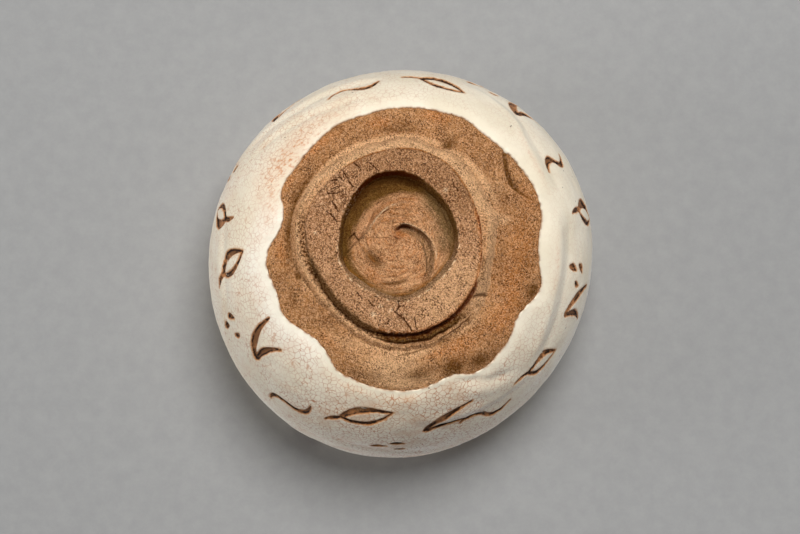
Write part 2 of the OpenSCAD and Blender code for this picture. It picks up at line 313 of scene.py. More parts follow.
class Shade:
    """A value, colour or vector on its way through a material's nodes."""

    def __init__(self, tree, socket):
        self.tree = tree
        self.socket = socket

    def make(self, kind, settings=None, inputs=None, output=0):
        """Adds a node of this kind, sets it up, feeds its sockets and gives one of its outputs."""
        node = self.tree.nodes.new(kind)
        for name, value in (settings or {}).items():
            setattr(node, name, value)
        for name, value in (inputs or {}).items():
            if isinstance(value, Shade):
                self.tree.links.new(value.socket, node.inputs[name])
            else:
                node.inputs[name].default_value = value
        return Shade(self.tree, node.outputs[output])

    def maths(self, operation, first, second):
        return self.make("ShaderNodeMath", {"operation": operation}, {0: first, 1: second})

    def vector(self, operation, inputs, output=0):
        return self.make("ShaderNodeVectorMath", {"operation": operation}, inputs, output)

    def __add__(self, other):
        return self.maths("ADD", self, other)

    def __radd__(self, other):
        return self.maths("ADD", other, self)

    def __sub__(self, other):
        return self.maths("SUBTRACT", self, other)

    def __rsub__(self, other):
        return self.maths("SUBTRACT", other, self)

    def __mul__(self, other):
        return self.maths("MULTIPLY", self, other)

    def __rmul__(self, other):
        return self.maths("MULTIPLY", other, self)

    def rise(self, low, high):
        """0 below low and 1 above high, with a smooth step between; low may be the larger."""
        inputs = {"Value": self, "From Min": min(low, high), "From Max": max(low, high)}
        step = self.make("ShaderNodeMapRange", {"interpolation_type": "SMOOTHSTEP"}, inputs)
        return step if low < high else 1 - step

    def larger(self, other):
        return self.maths("MAXIMUM", self, other)

    def mix(self, start, end):
        """The colour between start and end at this share."""
        return self.make("ShaderNodeMix", {"data_type": "RGBA"}, {0: self, 6: start, 7: end}, 2)

    def scaled(self, factor):
        return self.vector("SCALE", {0: self, "Scale": factor})

    def shifted(self, per_mm, reach):
        """This place moved about at random by up to half the reach, for crooked lines."""
        inputs = {"Vector": self, "Scale": per_mm, "Detail": 2.0}
        push = self.make("ShaderNodeTexNoise", {}, inputs, "Color")
        push = self.vector("SUBTRACT", {0: push, 1: (0.5, 0.5, 0.5)})
        return self.vector("ADD", {0: self, 1: push.scaled(reach)})

    def grain(self, per_mm, detail=2.0, roughness=0.5):
        """Noise over the surface, about 0.2 to 0.8 round 0.5."""
        inputs = {"Vector": self, "Scale": per_mm, "Detail": detail, "Roughness": roughness}
        return self.make("ShaderNodeTexNoise", {}, inputs)

    def cells(self, per_mm, feature):
        """Distance within a net of uneven cells: to their edges, or to their middles."""
        return self.make("ShaderNodeTexVoronoi", {"feature": feature}, {"Vector": self, "Scale": per_mm})

    def grit(self, per_mm):
        """A tone of its own for each grain of sand, 0 to 1."""
        tones = self.make("ShaderNodeTexVoronoi", {}, {"Vector": self, "Scale": per_mm}, "Color")
        return self.make("ShaderNodeSeparateColor", {}, {0: tones}, 0)

    def drawn(self, stretch, turn):
        """This place, drawn out so that grains lie long at the turn in degrees from the y axis."""
        inputs = {"Vector": self, "Rotation": (0.0, 0.0, np.radians(turn)), "Scale": (1.0, stretch, 1.0)}
        return self.make("ShaderNodeMapping", {"vector_type": "TEXTURE"}, inputs)

    def dashes(self, per_mm):
        """1 in the middle of short strokes, 0 between them."""
        return self.cells(per_mm, "F1").rise(0.34, 0.12) * self.grit(per_mm).rise(0.45, 0.6)

    def stroke(self, start, end, width):
        """1 along the straight line between two places, falling to 0 at half the width."""
        run = Vector(end) - Vector(start)
        flat = self.vector("MULTIPLY", {0: self, 1: (1.0, 1.0, 0.0)})
        gap = self.vector("SUBTRACT", {0: flat, 1: start})
        share = self.vector("DOT_PRODUCT", {0: gap, 1: run}, "Value")
        settings = {"operation": "MULTIPLY", "use_clamp": True}
        share = self.make("ShaderNodeMath", settings, {0: share, 1: 1 / run.length_squared})
        along = self.vector("SCALE", {0: run, "Scale": share})
        off = self.vector("DISTANCE", {0: gap, 1: along}, "Value")
        return off.rise(width / 2, width / 6)

    def field(self, name):
        """The number that mark() stored on the piece."""
        return self.make("ShaderNodeAttribute", {"attribute_name": name}, {}, "Fac")

    def bump(self, height, strength, distance):
        """A normal for the shader from a height over the surface, where 1 stands for the distance."""
        inputs = {"Height": height, "Strength": strength, "Distance": distance}
        return self.make("ShaderNodeBump", {}, inputs)


def finish(name, roughness, specular):
    """A new material, its shader node, and the place on the piece in millimetres."""
    material = bpy.data.materials.new(name)
    material.use_nodes = True
    tree = material.node_tree
    shader = tree.nodes["Principled BSDF"]
    shader.inputs["Roughness"].default_value = roughness
    shader.inputs["Specular IOR Level"].default_value = specular
    start = Shade(tree, shader.inputs["Base Color"])
    place = start.make("ShaderNodeTexCoord", {}, {}, "Object").scaled(1 / MM)
    return material, shader, place


def feed(shader, socket, value):
    value.tree.links.new(value.socket, shader.inputs[socket])


def srgb(red, green, blue):
    """A colour written as it looks on screen, 0 to 255, as the shader takes it."""
    share = np.array([red, green, blue]) / 255
    linear = np.where(share <= 0.04045, share / 12.92, ((share + 0.055) / 1.055) ** 2.4)
    return (*linear.tolist(), 1.0)


def fired_clay(name, light_tone, dark_tone, sand, ragged, cracks=()):
    """Coarse fired clay: patchy browns, sharp sand, short drag marks and drying cracks, tinted by the
    numbers that mark() stored, several of which are painted shade and painted highlights.
    """
    material, shader, place = finish(name, 0.95, 0.0)
    patches = place.grain(0.14, 4, 0.6).rise(0.34, 0.66)
    colour = patches.mix(light_tone, dark_tone)
    drift = place.grain(1.0, 6, 0.8) - 0.5
    # Stored tints: olive and rust-red are painted shade; grey is painted shade in the well and a plain
    # tone on its front wall; the dark patches are partly painted shade; the pale grit is partly a painted
    # highlight.
    for stain, share, tint in (
        ("pale", 0.85, srgb(230, 182, 132)),
        ("olive_shade", 0.92, srgb(88, 60, 13)),
        ("smoke", 0.9, srgb(92, 54, 22)),
        ("ochre", 0.75, srgb(196, 118, 52)),
        ("red_shade", 0.95, srgb(112, 44, 5)),
        ("grey", 0.9, srgb(116, 92, 58)),
        ("pale_grit_and_highlight", 0.9, srgb(248, 218, 176)),
    ):
        amount = (place.field(stain) * (1 + ragged * drift)).rise(0.0, 0.95)
        colour = (amount * share).mix(colour, tint)
    # Pale grains are dulled and fewer where shade, dark patches and dark lines are painted.
    shade_and_dark_patches = (place.field("olive_shade") + place.field("smoke")).rise(0.0, 1.0)
    red_shade_and_cracks = (place.field("red_shade") + place.field("crack_and_shade")).rise(0.0, 0.8)
    tone = place.drawn(1.4, -45).grit(5.8)
    worn = place.grain(0.3, 4, 0.7).rise(0.34, 0.66)
    colour = (tone.rise(0.46, 0.22) * (0.35 + 0.75 * worn) * sand).mix(colour, srgb(70, 38, 15))
    pale_grain = shade_and_dark_patches.mix(srgb(242, 190, 146), srgb(146, 106, 54))
    colour = (tone.rise(0.58, 0.8) * 0.55 * sand * (1 - 0.85 * red_shade_and_cracks)).mix(colour, pale_grain)
    crumbs = place.grain(1.8, 4, 0.75)
    colour = (crumbs.rise(0.5, 0.3) * 0.2).mix(colour, srgb(92, 56, 28))
    drag = place.drawn(3.0, -40).dashes(2.6).larger(place.drawn(2.4, 15).dashes(2.2))
    long_drag = place.shifted(0.8, 0.5).drawn(3.4, 55).dashes(1.8)
    drag = drag.larger(long_drag * place.field("rough"))
    colour = (drag * 0.95 * sand).mix(colour, srgb(50, 29, 12))
    # Dark lines: drying cracks, and the painted shade in folds, slots, undercuts and hollows that the
    # piece stores.
    crack_and_shade = place.field("crack_and_shade")
    crooked = place.shifted(1.1, 1.3)
    for start, end, width in cracks:
        crack_and_shade = crack_and_shade.larger(crooked.stroke((*start, 0.0), (*end, 0.0), width))
    net = place.shifted(0.5, 1.6).cells(0.75, "DISTANCE_TO_EDGE")
    zone = place.field("cracking") * place.grain(0.9, 3, 0.6).rise(0.42, 0.52)
    # A pale band beside each crack of the net is a painted highlight on its edge.
    colour = (net.rise(0.1, 0.3) * zone * 0.5).mix(colour, srgb(236, 194, 152))
    crack_and_shade = crack_and_shade.larger(net.rise(0.11, 0.04) * zone * 0.7)
    colour = (crack_and_shade * 0.92).mix(colour, srgb(58, 22, 3))
    feed(shader, "Base Color", colour)
    height = 0.8 * crumbs + 0.25 * place.grain(3.0, 2, 0.6) - 0.6 * crack_and_shade - 0.3 * drag
    feed(shader, "Normal", place.bump(height, 0.6, 0.5 * MM))
    return material


body_clay = fired_clay("body_clay", srgb(186, 131, 81), srgb(154, 104, 59), 0.9, 2.0)
clay_body.data.materials.append(body_clay)
# Dark blotches: degrees, distance along the section, length round, width across, strength
dark_blotches = (
    (10, -0.4, 9, 1.6, 0.9), (34, -0.2, 6, 1.0, 0.5), (62, 0.0, 6, 0.8, 0.4),
    (90, 0.5, 10, 0.9, 0.4), (116, -1.4, 1.6, 1.4, 0.9), (117, 1.2, 2.2, 2.2, 0.5),
    (134, 0.2, 6, 1.2, 0.4), (152, 5.2, 3.6, 1.4, 0.5), (187, -3.0, 8, 1.5, 0.4),
    (200, 9.4, 2.4, 1.8, 1.1), (208, 6.4, 2.0, 2.6, 0.5), (236, 10, 3.4, 2.6, 0.9),
    (247, 7.4, 3.2, 3.0, 1.2), (262, 6.6, 5.0, 2.6, 0.7), (246, -1.2, 4.4, 1.2, 0.6),
    (285, 7.4, 6, 1.4, 0.4), (310, -0.8, 9, 2.6, 0.35), (341, -1.6, 1.1, 0.9, 1.2),
    (158, -1.0, 3.4, 1.5, 0.4), (44, 2.2, 6, 1.6, 0.3), (62, 6.0, 1.6, 1.2, 0.5),
    (330, 2.4, 5, 1.6, 0.4), (25, 1.5, 4, 2.0, 0.4), (172, 3, 5, 4, 0.2), (350, 0.5, 8, 3, 0.3),
    (188, 3.4, 8, 4, 0.4), (90, 2.4, 7, 2.2, 0.4),
)
ochre_blotches = (
    (106, 6.5, 5, 2.4, 0.7), (80, 3.4, 4, 2.0, 0.7), (50, 4.8, 8, 1.6, 0.7), (178, 3, 8, 5, 0.45),
    (200, 2, 10, 5, 0.5), (218, 5.5, 9, 4.5, 0.6), (240, 3, 6, 4, 0.6), (252, 1.8, 5, 1.2, 0.5),
    (306, 2.8, 4, 1.8, 0.45), (356, 2.2, 5, 2.0, 0.6), (28, 4, 3, 1, 0.7), (160, 7, 6, 3, 0.4),
)
pale_blotches = (
    (230, 5.6, 5, 3, 0.4), (168, -2, 1.6, 2.6, 0.8), (232, -1.2, 8, 1.4, 0.6),
    (264, 0.2, 7, 1.4, 0.8), (338, -2.6, 5, 1.3, 0.6), (285, -1.2, 7, 1.3, 0.6),
    (150, 0.8, 4, 1.6, 0.4), (268, 8.4, 10, 2.4, 0.9), (274, 3.6, 9, 3, 0.9),
    (300, 1.0, 8, 2.0, 0.4), (212, 1, 3, 2, 0.3), (45, -2.0, 14, 1.1, 0.8),
    (75, -2.0, 14, 1.0, 0.8), (100, -1.8, 7, 1.1, 0.8), (128, -2.0, 8, 1.2, 0.8),
    (148, -2.6, 7, 1.3, 0.8), (20, -2.6, 10, 0.8, 0.5),
)


def half_turns(angle):
    """The same angle between -180 and 180 degrees."""
    return np.mod(angle + 180, 360) - 180


def blotched(blotches):
    total = np.zeros(body_distance.shape)
    for at, far, length, width, strength in blotches:
        arc = np.radians(half_turns(body_angle - at)) * (seat_r + far)
        total += strength * bell(np.hypot(arc / length, (body_distance - far) / width))
    return capped(total)


def nail_lines(distance, angle):
    """Two fine lines drawn in the soft clay in front of the foot."""
    first = bell((distance + 0.3 - 0.06 * (angle - 262)) / 0.2) * window(angle, 253, 271, 5)
    second = bell((distance - 0.3 - 0.06 * (angle - 266)) / 0.2) * window(angle, 260, 273, 5)
    return first + second


# Darker in the blotches, with painted shade in the fingernail furrow and along the two nail lines.
smoke = np.maximum(blotched(dark_blotches), 1.3 * furrow(body_distance, body_angle))
smoke = np.maximum(smoke, 0.7 * nail_lines(body_distance, body_angle))
few_cracks = 0.22
hidden = np.zeros(sunk.shape[:2])
for stain, amount in (
    ("smoke", smoke),
    ("ochre", blotched(ochre_blotches)),
    ("pale", blotched(pale_blotches)),
    ("rough", window(body_angle, 140, 245, 25) * ease(body_distance / 3.0)),
    ("cracking", np.full(body_distance.shape, few_cracks)),
):
    mark(clay_body, stain, np.vstack([hidden, amount]))
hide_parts("clay_body")
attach(clay_body, "root")

# Foot ring: a ring of the same clay set on the underside, its broad face worn flat and cracked.
# It was cut with a tool while leather-hard, so its inner edge is crumbly and its outer edge round.
foot_r = 26.1
foot_oval = 1.1
foot_lobe = 0.8
foot_corner = 0.4
well_rim = (
    (0, 16.4), (20, 16.5), (40, 16.9), (50, 17.6), (60, 18.3), (70, 18.8), (85, 19.0), (100, 18.7),
    (110, 18.3), (120, 17.6), (140, 17.3), (155, 17.3), (170, 17.7), (190, 18.0), (202, 18.1),
    (215, 17.8), (230, 17.7), (240, 18.0), (250, 18.5), (262, 19.0), (270, 19.0), (280, 18.4),
    (292, 17.8), (310, 17.8), (325, 17.9), (340, 17.5), (350, 16.9),
)
foot_at = np.array([1.1, 0.0])
foot_round = 0.9
round_foot = turn_in_steps(880)


def foot_plan(angle):
    swell = foot_oval * cosine(2 * (angle - 70)) + foot_lobe * cosine(3 * (angle - 7))
    return foot_r + swell + foot_corner * cosine(4 * (angle - 16))


def well_plan(angle):
    return closed_curve(well_rim, angle)


def well_taper(angle):
    """How far the well narrows down to its floor; the front wall leans most."""
    return 0.9 + 1.4 * window(angle, 185, 350, 40)


rim_round = 0.5
ring_well = well_plan(round_foot)
ring_edge = foot_plan(round_foot)
down_ring = np.linspace(0, 1, 16)[:, None]
quarter = np.linspace(0, 90, 10)[1:, None]
wall_rows = round_points(
    well_at,
    ring_well - well_taper(round_foot) * (1 - down_ring),
    round_foot,
    seat_z - (seat_z - rim_round) * down_ring,
)
inner_round = round_points(
    well_at, ring_well + rim_round * (1 - cosine(quarter)), round_foot, rim_round * (1 - sine(quarter))
)
outer_round = round_points(
    foot_at, ring_edge - foot_round * (1 - sine(quarter)), round_foot, foot_round * (1 - cosine(quarter))
)
face_start = inner_round[-1]
face_stop = round_points(foot_at, ring_edge - foot_round, round_foot, 0.0)
face_rows = face_start + (face_stop - face_start) * np.linspace(0, 1, 46)[1:, None, None]
up_side = np.linspace(0, 1, 14)[1:, None]
flare = 1.5 * window(round_foot, 270, 350, 25) * up_side
undercut = 0.5 * window(round_foot, 195, 290, 20) * bell((up_side - 0.3) / 0.3)
side_rows = round_points(
    foot_at, ring_edge + flare - undercut, round_foot, foot_round + (seat_z - foot_round) * up_side
)
ring_rows = np.vstack([wall_rows, inner_round, face_rows, outer_round, side_rows])
ring_z = ring_rows[..., 2].copy()
ring_angle = np.broadcast_to(round_foot, ring_z.shape)
crumble = lumps(ring_rows, 1.5, 3, 11.0)
wear = lumps(ring_rows, 5.0, 2, 3.0)
back_cracks = window(ring_angle, 12, 62, 22)
cracking = 0.1 + 0.8 * np.maximum(back_cracks, 0.7 * window(ring_angle, 250, 292, 18))
near_face = ease((2.0 - ring_z) / 2.0)
rise = 0.08 + 0.14 * capped(crumble) + 0.15 * capped(wear)
ring_rows[..., 2] += near_face * rise
at_edge = bell((ring_z - 0.45) / 0.5)
outward = ring_rows[..., :2] - foot_at
outward = outward / np.linalg.norm(outward, axis=-1)[..., None]
notches = 0.5 * at_edge * capped(lumps(ring_rows, 0.9, 3, 15.0))
ring_rows[..., :2] += ((0.12 + 0.1 * at_edge) * crumble + 0.15 * wear + notches)[..., None] * outward
foot_ring = loft("foot_ring_cut", ring_rows)
# Drying cracks in the face of the ring: from and to, in millimetres, and width
ring_cracks = (
    ((14.6, 23.9), (12.9, 22.2), 0.9), ((12.9, 22.2), (11.3, 20.5), 0.6),
    ((17.3, 20.9), (15.8, 18.7), 0.65), ((15.8, 18.7), (13.6, 15.3), 0.6),
    ((20.4, 17.2), (18.4, 17.6), 0.6), ((19.6, 15.0), (17.2, 15.8), 0.6),
    ((18.0, 18.8), (16.4, 17.2), 0.55), ((21.2, 13.6), (18.6, 13.4), 0.6),
    ((18.6, 13.4), (16.4, 14.2), 0.55), ((19.7, 11.2), (18.2, 8.4), 0.65),
    ((21.4, 8.1), (19.6, 6.8), 0.6), ((19.6, 6.8), (18.2, 5.2), 0.6),
    ((0.6, -17.8), (0.3, -20.0), 0.8), ((0.3, -20.0), (1.4, -21.0), 0.6),
    ((1.4, -21.0), (-0.8, -23.0), 0.75), ((-0.8, -23.0), (-3.4, -26.6), 0.9),
    ((-4.2, -23.2), (-4.9, -26.2), 0.75), ((9.0, -17.9), (7.8, -19.6), 0.6),
    ((12.4, -15.6), (11.0, -17.4), 0.55), ((8.6, 22.4), (6.4, 20.2), 0.55),
    ((-15.4, 16.6), (-16.8, 14.6), 0.55),
)
# Pale grit laid bare in the face: middle and size
ring_flecks = (
    (5.7, -19.7, 0.7), (7.7, -22.0, 0.9), (2.4, -20.7, 0.6), (24.5, 1.9, 0.6), (-13.2, 14.6, 0.7),
)
ring_clay = fired_clay("ring_clay", srgb(175, 126, 86), srgb(156, 108, 70), 1.05, 1.5, ring_cracks)
foot_ring.data.materials.append(ring_clay)
mark(foot_ring, "cracking", cracking)
wall_end = len(wall_rows)
rim_end = wall_end + len(inner_round)
face_end = rim_end + len(face_rows)
outer_end = face_end + len(outer_round)
inside_ring = np.zeros(ring_z.shape)
inside_ring[:wall_end] = 0.9 - 0.1 * down_ring
inside_ring[wall_end:rim_end] = 0.6 * cosine(quarter)
rim_edge = np.zeros(ring_z.shape)
rim_edge[wall_end:rim_end] = sine(quarter) ** 2
fading_rows = 5
outer_edge = np.zeros(ring_z.shape)
outer_edge[face_end - fading_rows : face_end] = np.linspace(0.02, 0.25, fading_rows)[:, None]
outer_edge[face_end:outer_end] = 0.25 + 0.75 * sine(quarter)
outer_edge[outer_end:] = 1.0
left_side = outer_edge * window(ring_angle, 270, 358, 14)
pale_most = 0.4 + 0.6 * window(ring_angle, 185, 265, 25)
mark(foot_ring, "pale", 0.5 * near_face * window(ring_angle, 165, 375, 40) * pale_most)
# Pale on the crumbly edge of the well, partly worn and partly a painted highlight, and pale grit laid
# bare in the face.
pale_grit_and_highlight = rim_edge * window(ring_angle, 160, 372, 30) * ease(0.3 + 1.6 * crumble)
for fleck_x, fleck_y, fleck_size in ring_flecks:
    off = np.hypot(ring_rows[..., 0] - fleck_x, ring_rows[..., 1] - fleck_y) / fleck_size
    pale_grit_and_highlight = np.maximum(pale_grit_and_highlight, near_face * bell(off) * ease(0.7 + 1.2 * crumble))
mark(foot_ring, "pale_grit_and_highlight", pale_grit_and_highlight)
mark(foot_ring, "ochre", outer_edge * window(ring_angle, 150, 292, 16))
front_wall = window(ring_angle, 170, 350, 40)
# Olive painted shade on the well's wall away from the front and on the ring's left side; the well's front
# wall gets a plain grey tone.
mark(foot_ring, "olive_shade", inside_ring * (1 - front_wall) + 0.6 * left_side)
mark(foot_ring, "grey", inside_ring * front_wall)


def pitting(rows):
    return ease(0.5 + 1.5 * lumps(rows, 0.7, 3, 27.0))


def deepest(pitted):
    return ease((pitted - 0.72) / 0.2)


ring_pits = pitting(ring_rows)
# Painted shade in the well's wall at the back and sides, darker at the back of the face, and dark pits on
# the ring's left side.
back_tone = 0.32 * near_face * window(ring_angle, 40, 190, 40)
in_shade = 0.6 * inside_ring * window(ring_angle, -20, 150, 40)
mark(foot_ring, "smoke", capped(in_shade + back_tone + 0.25 * left_side * ring_pits))
# Rust-red painted shade on the well's back wall and on the ring's side along the slot in front; the back
# wall also gets dark painted shade.
back_wall_red_shade = inside_ring * ease((4.4 - ring_z) / 2.0) * window(ring_angle, 34, 122, 25)
slot_side_red_shade = 0.7 * outer_edge**2 * window(ring_angle, 207, 285, 12)
mark(foot_ring, "red_shade", capped(back_wall_red_shade + slot_side_red_shade))
mark(foot_ring, "crack_and_shade", capped(0.5 * back_wall_red_shade + 0.5 * left_side * deepest(ring_pits)))
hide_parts("foot_ring")
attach(foot_ring, "root")

# Collar: a fillet of softer, paler clay that lutes the ring to the body, smoothed on with a finger.
# It nearly fills up to the ring at the back, is a low ridge at the side and a terrace in front.
collar_w = (
    (0, 5.0), (12, 4.7), (25, 4.3), (45, 4.4), (70, 4.2), (90, 4.0), (100, 4.6), (115, 3.5),
    (122, 4.8), (135, 4.9), (150, 5.3), (160, 5.7), (166, 6.8), (172, 5.6), (178, 4.8), (190, 4.0),
    (198, 3.8), (204, 4.2), (214, 5.2), (235, 4.8), (260, 4.6), (285, 4.6), (310, 4.4), (335, 4.8),
    (348, 5.2),
)
collar_across = np.linspace(0, 1, 48)[:, None]
# Its sections, as (share of the way across, height), which run over into each other round the foot
back_section = ((0, 3.9), (0.07, 4.3), (0.25, 4.1), (0.55, 3.2), (0.8, 1.5), (0.93, 0.3), (1, 0))
left_section = ((0, 3.2), (0.12, 2.3), (0.3, 2.2), (0.5, 2.5), (0.7, 1.9), (0.88, 0.6), (1, 0))
front_left_section = ((0, 1.4), (0.14, 0.1), (0.3, 0.2), (0.5, 1.2), (0.7, 1.5), (0.9, 0.5), (1, 0))
front_right_section = ((0, 0.9), (0.12, 1.1), (0.25, 2.1), (0.45, 1.9), (0.7, 1.2), (0.9, 0.4), (1, 0))
terrace_section = (
    (0, 0.9), (0.12, 1.1), (0.25, 2.3), (0.42, 2.3), (0.48, 2.0), (0.55, 0.6), (0.76, 1.0), (1, 0),
)
collar_share = 1e-6
collar_up = 0.0
for section, from_angle, to_angle, soft in (
    (back_section, 42, 222, 26),
    (left_section, 322, 418, 30),
    (front_left_section, 264, 350, 28),
    (front_right_section, 202, 250, 22),
    (terrace_section, 228, 292, 22),
):
    share = window(round_foot, from_angle, to_angle, soft)
    collar_up = collar_up + share * smooth_curve(section, collar_across)
    collar_share = collar_share + share
collar_up = collar_up / collar_share
collar_lap = 0.3
on_ring = round_points(bowl_axis, 26, round_foot, 0.0)
collar_reach = closed_curve(collar_w, round_foot) + 0.5 * lumps(on_ring, 2.4, 3, 12.0)
collar_radius = ring_edge - collar_lap + (collar_reach + collar_lap) * collar_across
collar_rows = round_points(foot_at, collar_radius, round_foot, seat_z)
collar_angle = np.broadcast_to(round_foot, collar_rows.shape[:2])
toe = ease((1 - collar_across) / 0.2)
smear = lumps(collar_rows * np.array([0.4, 0.4, 1.0]), 0.8, 2, 8.0)
uneven = 0.4 * lumps(collar_rows, 4.5, 3, 2.0) + 0.18 * lumps(collar_rows, 1.3, 3, 6.0) + 0.1 * smear
fold_at = 211.5 + 9 * (1 - collar_across) ** 2
fold_line = bell((collar_angle - fold_at) / 0.9) * ease((collar_across - 0.2) / 0.1)


def collar_band(start, end, soft, at, width):
    """1 along a band of the collar, from angle to angle, at a share of the way across."""
    return window(collar_angle, start, end, soft) * bell((collar_across - at) / width)


nail_line = collar_band(222, 246, 6, 0.78 + 0.003 * (collar_angle - 234), 0.03)
collar_rows[..., 2] = seat_z - collar_up - toe * (uneven - 0.6 * fold_line - 0.25 * nail_line)
back_radius = ring_edge + collar_reach * np.array([[1.0], [0.5], [0.0]])
collar_back = round_points(foot_at, back_radius, round_foot, seat_z + collar_lap)
foot_collar = loft("foot_collar_luted", np.vstack([collar_rows, collar_back]))
collar_clay = fired_clay("collar_clay", srgb(186, 135, 88), srgb(162, 113, 68), 0.95, 2.5)
foot_collar.data.materials.append(collar_clay)
terrace = ease((collar_across - 0.08) / 0.12) * ease((0.62 - collar_across) / 0.12)
terrace = terrace * window(collar_angle, 220, 290, 18)
# Painted shade along the step in front and in the groove at the side, and rust-red painted shade in the
# slot in front and at the crease by the ring.
front_step_shade = 0.6 * collar_band(234, 286, 12, 0.55, 0.05)
side_groove_shade = collar_band(268, 358, 16, 0.15, 0.23)
slot_red_shade = collar_band(203, 284, 8, 0.1, 0.17)
crease_red_shade = collar_band(146, 216, 16, 0.06, 0.08)
mark(foot_collar, "red_shade", np.maximum(slot_red_shade, crease_red_shade))
collar_pits = pitting(collar_rows)
pit_zone = collar_band(272, 384, 16, 0.3, 0.3) + 0.8 * collar_band(186, 212, 8, 0.35, 0.2)
# Dark painted shade in the fold, the nail line, the slot and along the step, with dark pits.
slot_shade_line = collar_band(204, 284, 8, 0.1, 0.1)
shade_lines = 0.9 * (fold_line + nail_line) + 0.15 * slot_shade_line + 0.35 * front_step_shade
mark(foot_collar, "crack_and_shade", capped(shade_lines + (pit_zone + 0.7 * terrace) * deepest(collar_pits)))
# Olive painted shade in the side groove and on the terrace in front.
mark(foot_collar, "olive_shade", np.maximum(0.7 * side_groove_shade, 0.7 * terrace))
# Darker in the valley past the side ridge, with painted shade and pits on the terrace and step, and
# painted shade in the crease at the back.
side_valley_dark = 0.5 * window(collar_angle, -50, 40, 25) * ease((collar_across - 0.8) / 0.2)
front_shade_and_pits = terrace * (0.3 + 0.5 * collar_pits) + 0.5 * front_step_shade
crease_shade = 0.8 * collar_band(4, 150, 20, 0.04, 0.1)
mark(foot_collar, "smoke", capped(front_shade_and_pits + crease_shade + side_valley_dark))
warm_ridge = 0.3 * collar_band(262, 400, 30, 0.75, 0.2)
warm_crease = 1.3 * collar_band(0, 212, 16, 0.04, 0.09)
warm_side = 0.5 * collar_band(150, 214, 20, 0.28, 0.22)
mark(foot_collar, "ochre", np.maximum(np.maximum(warm_ridge, warm_crease), warm_side))
pale_top = ease((1.15 - collar_across) / 0.3) * ease(collar_across / 0.12)
pale_top = pale_top * (0.2 + 0.8 * window(collar_angle, 2, 235, 40)) * (1 - side_groove_shade) * (1 - terrace)
mark(foot_collar, "pale", np.maximum(pale_top, 0.8 * collar_band(256, 388, 24, 0.6, 0.22)))
mark(foot_collar, "cracking", np.full(collar_rows.shape[:2], few_cracks))
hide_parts("foot_collar")
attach(foot_collar, "root")

# Spiral pad: a flat of clay pressed on the floor of the well and turned into a swirl with a finger.
# A raised arm curls out of the middle, and a groove with a sharp outer lip follows inside it.
swirl_arm = (
    (0, 10.2), (10, 9.0), (21, 8.1), (45, 8.0), (63, 8.5), (86, 9.6), (100, 10.4), (120, 11.5),
    (143, 11.6), (165, 10.8), (180, 10.8), (195, 12.2), (210, 14.8), (225, 17.6), (240, 20),
    (310, 20), (335, 17.5), (350, 12.5),
)
bank_run = (
    (0, 1.2), (21, 2.0), (54, 2.8), (100, 3.4), (143, 4.6), (180, 5.6), (210, 3.4), (240, 1.5),
    (320, 1.2),
)
groove_line = (
    (80, 2.6), (103, 3.4), (120, 4.4), (139, 5.3), (162, 7.1), (178, 9.0), (195, 11.4), (210, 13.3),
    (222, 14.9), (235, 16.2), (246, 16.8),
)
groove_run = (
    (80, 2.2), (120, 3.4), (150, 4.2), (180, 4.4), (200, 4.0), (222, 3.2), (235, 2.2), (246, 1.8),
)
groove_depth = (
    (80, 0.5), (100, 2.2), (122, 2.7), (150, 2.3), (180, 2.1), (205, 1.9), (230, 1.4), (246, 0.8),
)
groove_outer_slope = ((80, 0.5), (165, 0.55), (190, 1.4), (215, 2.2), (246, 2.0))
groove_inner_slope = ((80, 1.6), (120, 2.4), (150, 3.0), (175, 2.6), (195, 1.3), (210, 0.7), (246, 0.6))
pad_z = 6.3
swirl_h = 2.6
round_pad = turn_in_steps(620)
pad_share = np.linspace(0, 1, 106)[1:, None]
in_reach = 1 - 0.45 * window(round_pad, 185, 350, 40)
pad_edge = well_plan(round_pad) - well_taper(round_pad) * in_reach + 0.35
pad_radius = pad_edge * pad_share
pad_angle = np.broadcast_to(round_pad, pad_radius.shape)
arm = closed_curve(swirl_arm, round_pad)
bank_down = closed_curve(bank_run, round_pad)
bank = ease((arm + bank_down - pad_radius) / (bank_down + 0.5))
from_wall = pad_edge - pad_radius
fillet = bell(from_wall / 1.3)
inside = smooth_curve(groove_line, round_pad) - pad_radius
run_in = smooth_curve(groove_run, round_pad)
outer_slope = smooth_curve(groove_outer_slope, round_pad)
inner_slope = smooth_curve(groove_inner_slope, round_pad)
groove_fade = window(round_pad, 78, 246, 10)
groove = groove_fade * ease(inside / outer_slope) * ease((run_in - inside) / inner_slope)


def by_groove(at, width, start, end, soft):
    """1 along a line inside the groove's outer edge, from angle to angle."""
    return groove_fade * bell((inside - at) / width) * window(round_pad, start, end, soft)


sharp_lip = 0.5 * by_groove(-0.5, 0.6, 70, 205, 30)
pad_rows = round_points(well_at, pad_radius, round_pad, 0.0)
pad_x = pad_rows[..., 0] - well_at[0]
pad_y = pad_rows[..., 1] - well_at[1]
thumb_at = (6.8, -6.2)
thumb_along = (pad_x - thumb_at[0] + pad_y - thumb_at[1]) / 2**0.5
thumb_across = (pad_x - thumb_at[0] - pad_y + thumb_at[1]) / 2**0.5
thumb = bell(np.hypot(thumb_along / 3.8, thumb_across / 1.6))


def spun_streaks(angle):
    spun = np.stack([pad_radius * 1.1 - 0.02 * angle, 2.6 * cosine(angle), 2.6 * sine(angle)], -1)
    return lumps(spun, 0.9, 3, 33.0)


